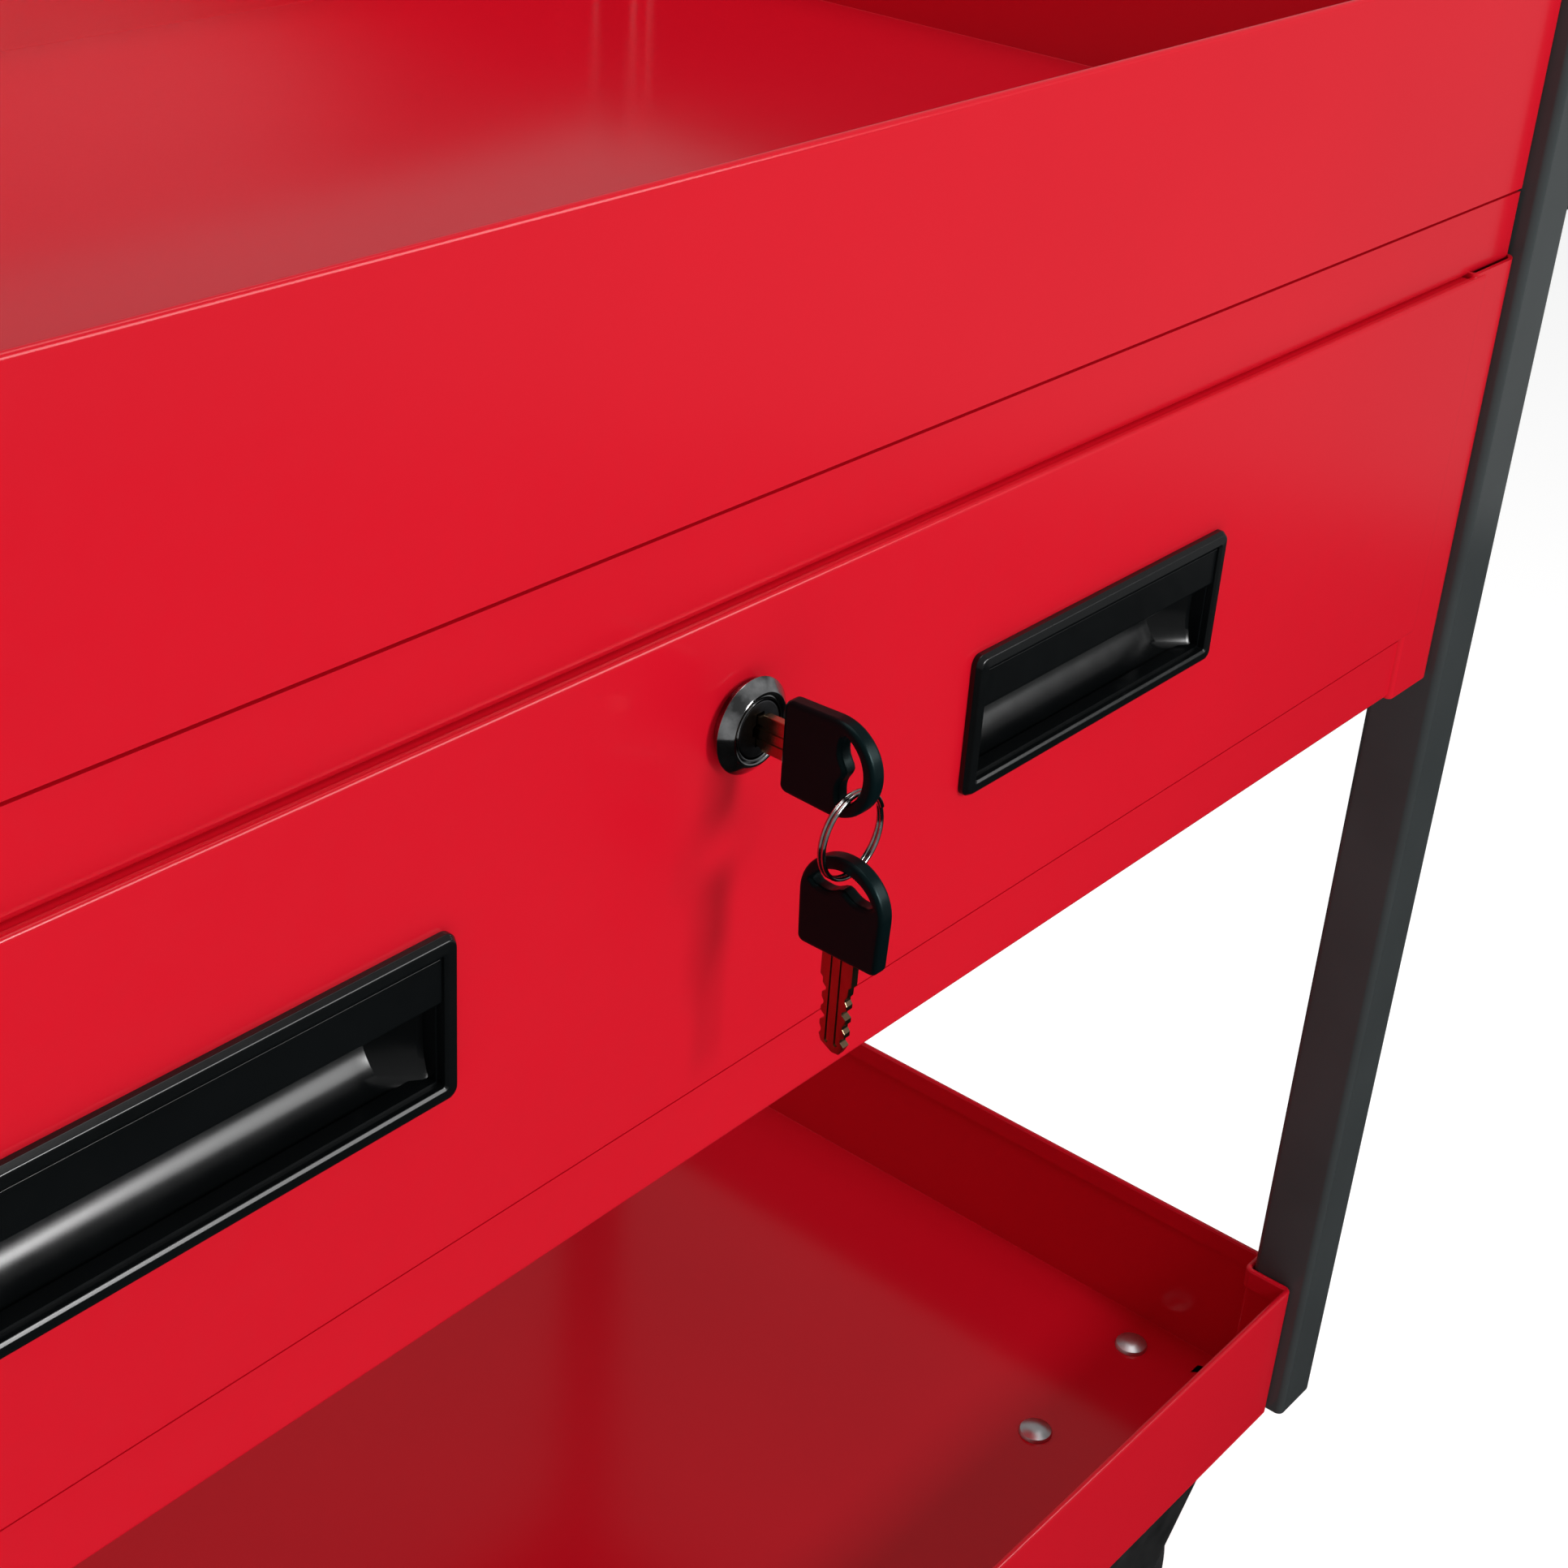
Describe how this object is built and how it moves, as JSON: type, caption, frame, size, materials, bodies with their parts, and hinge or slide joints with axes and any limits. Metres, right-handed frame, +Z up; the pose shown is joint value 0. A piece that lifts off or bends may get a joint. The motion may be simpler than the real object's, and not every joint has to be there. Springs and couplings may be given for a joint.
{
  "type": "rolling tool cart",
  "caption": "Two-tier rolling tool cart: open top tray over a key-locked drawer, open lower tray, square tube legs, end push handle, fixed and braked swivel casters.",
  "frame": {"origin": "centre of the bounding box, on the floor under the wheels", "axes": "+Z up, the drawer faces -Y, the push handle is at the +X end"},
  "size_m": [0.8942, 0.4616, 0.7562],
  "materials": {
    "red_steel": "satin red powder coat",
    "leg_black": "satin black powder coat",
    "cap_plastic": "matte black",
    "pull_plastic": "satin black",
    "zinc_steel": "zinc plated",
    "lock_chrome": "polished",
    "key_plastic": "satin black",
    "key_metal": "nickel brass",
    "ring_steel": "nickel plated",
    "grip_rubber": "matte",
    "tyre_rubber": "matte",
    "hub_plastic": "matte grey",
    "pedal_plastic": "matte black"
  },
  "bodies": {
    "cart": {"front_left_leg": "leg_black", "front_left_leg_cap": "cap_plastic", "front_right_leg": "leg_black", "front_right_leg_cap": "cap_plastic", "back_left_leg": "leg_black", "back_left_leg_cap": "cap_plastic", "back_right_leg": "leg_black", "back_right_leg_cap": "cap_plastic", "top_tray": "red_steel", "bottom_tray": "red_steel", "drawer_cabinet": "red_steel", "left_slide_mount": "zinc_steel", "left_slide_outer": "zinc_steel", "right_slide_mount": "zinc_steel", "right_slide_outer": "zinc_steel", "push_handle": "leg_black", "handle_grip": "grip_rubber", "front_handle_bracket": "zinc_steel", "back_handle_bracket": "zinc_steel", "front_left_fork": "zinc_steel", "front_right_swivel_plate": "zinc_steel", "front_left_axle": "zinc_steel", "back_left_fork": "zinc_steel", "back_right_swivel_plate": "zinc_steel", "back_left_axle": "zinc_steel"},
    "left_slide": {"left_slide_middle": "zinc_steel"},
    "right_slide": {"right_slide_middle": "zinc_steel"},
    "drawer": {"drawer_front": "red_steel", "drawer_box": "red_steel", "left_pull": "pull_plastic", "right_pull": "pull_plastic", "lock_housing": "lock_chrome", "lock_nut": "zinc_steel", "left_slide_inner": "zinc_steel", "right_slide_inner": "zinc_steel"},
    "lock_cylinder": {"lock_plug": "lock_chrome", "lock_cam": "zinc_steel", "cam_screw": "zinc_steel"},
    "key": {"key_head": "key_plastic", "key_blade": "key_metal"},
    "ring": {"split_ring": "ring_steel"},
    "spare_key": {"spare_key_head": "key_plastic", "spare_key_blade": "key_metal"},
    "front_right_caster": {"front_right_fork": "zinc_steel", "front_right_axle": "zinc_steel"},
    "front_right_brake": {"front_right_brake_pedal": "pedal_plastic"},
    "front_left_wheel": {"front_left_tyre": "tyre_rubber", "front_left_hub": "hub_plastic"},
    "front_right_wheel": {"front_right_tyre": "tyre_rubber", "front_right_hub": "hub_plastic"},
    "back_right_caster": {"back_right_fork": "zinc_steel", "back_right_axle": "zinc_steel"},
    "back_right_brake": {"back_right_brake_pedal": "pedal_plastic"},
    "back_left_wheel": {"back_left_tyre": "tyre_rubber", "back_left_hub": "hub_plastic"},
    "back_right_wheel": {"back_right_tyre": "tyre_rubber", "back_right_hub": "hub_plastic"}
  },
  "joints": [
    {"name": "drawer_slide", "type": "slide", "parent": "cart", "child": "drawer", "axis": [0, -1, 0], "range_m": [0, 0.34]},
    {"name": "left_slide_travel", "type": "slide", "parent": "cart", "child": "left_slide", "axis": [0, -1, 0], "range_m": [0, 0.17]},
    {"name": "right_slide_travel", "type": "slide", "parent": "cart", "child": "right_slide", "axis": [0, -1, 0], "range_m": [0, 0.17]},
    {"name": "lock_turn", "type": "hinge", "parent": "drawer", "child": "lock_cylinder", "pos_m": [-0.0421, -0.18615, 0.625], "axis": [0, -1, 0], "range_deg": [0, 90]},
    {"name": "key_pull", "type": "slide", "parent": "lock_cylinder", "child": "key", "axis": [0, -1, 0], "range_m": [0, 0.04]},
    {"name": "ring_swing", "type": "hinge", "parent": "key", "child": "ring", "pos_m": [-0.0421, -0.21885, 0.62], "axis": [0, 1, 0], "range_deg": [-15, 15]},
    {"name": "spare_key_swing", "type": "hinge", "parent": "ring", "child": "spare_key", "pos_m": [-0.0421, -0.21885, 0.5992], "axis": [1, 0, 0], "range_deg": [-15, 15]},
    {"name": "front_right_swivel", "type": "hinge", "parent": "cart", "child": "front_right_caster", "pos_m": [0.2929, -0.14415, 0.145], "axis": [0, 0, 1], "continuous": true},
    {"name": "front_right_brake_press", "type": "hinge", "parent": "front_right_caster", "child": "front_right_brake", "pos_m": [0.2319, -0.14415, 0.128], "axis": [0, -1, 0], "range_deg": [0, 9]},
    {"name": "front_right_wheel_spin", "type": "hinge", "parent": "front_right_caster", "child": "front_right_wheel", "pos_m": [0.2579, -0.14415, 0.0625], "axis": [0, 1, 0], "continuous": true},
    {"name": "front_left_wheel_spin", "type": "hinge", "parent": "cart", "child": "front_left_wheel", "pos_m": [-0.3771, -0.14415, 0.0625], "axis": [0, 1, 0], "continuous": true},
    {"name": "back_right_swivel", "type": "hinge", "parent": "cart", "child": "back_right_caster", "pos_m": [0.2929, 0.18585, 0.145], "axis": [0, 0, 1], "continuous": true},
    {"name": "back_right_brake_press", "type": "hinge", "parent": "back_right_caster", "child": "back_right_brake", "pos_m": [0.2319, 0.18585, 0.128], "axis": [0, -1, 0], "range_deg": [0, 9]},
    {"name": "back_right_wheel_spin", "type": "hinge", "parent": "back_right_caster", "child": "back_right_wheel", "pos_m": [0.2579, 0.18585, 0.0625], "axis": [0, 1, 0], "continuous": true},
    {"name": "back_left_wheel_spin", "type": "hinge", "parent": "cart", "child": "back_left_wheel", "pos_m": [-0.3771, 0.18585, 0.0625], "axis": [0, 1, 0], "continuous": true}
  ],
  "couplings": [
    {"joint": "left_slide_travel", "follows": "drawer_slide", "ratio": 0.5},
    {"joint": "right_slide_travel", "follows": "drawer_slide", "ratio": 0.5}
  ]
}
